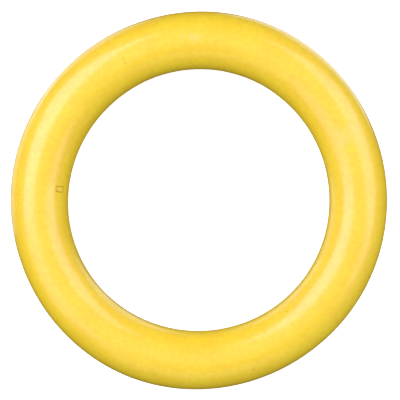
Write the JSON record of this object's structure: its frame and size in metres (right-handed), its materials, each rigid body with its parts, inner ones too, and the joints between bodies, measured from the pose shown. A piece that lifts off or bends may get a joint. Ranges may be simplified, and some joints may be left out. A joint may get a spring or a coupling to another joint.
{
  "type": "life ring buoy",
  "caption": "Smooth rigid foam-filled buoyancy ring with a round section, for throwing to a swimmer.",
  "frame": {"origin": "centre of the ring, on the axis of its hole and in the plane of its welded seam", "axes": "+Z along the axis of the hole, out of the face with the oval filler plug; -X towards that plug, to within 5 degrees; +Y completes the frame and is the top of the ring as it hangs in the picture"},
  "size_m": [0.72, 0.72, 0.11],
  "materials": {
    "shell": "satin",
    "plug": "satin",
    "foam": "matte"
  },
  "bodies": {
    "root": {"upper_shell": "shell", "lower_shell": "shell", "foam_core": "foam", "filler_plug": "plug", "vent_plug": "plug"}
  },
  "joints": []
}
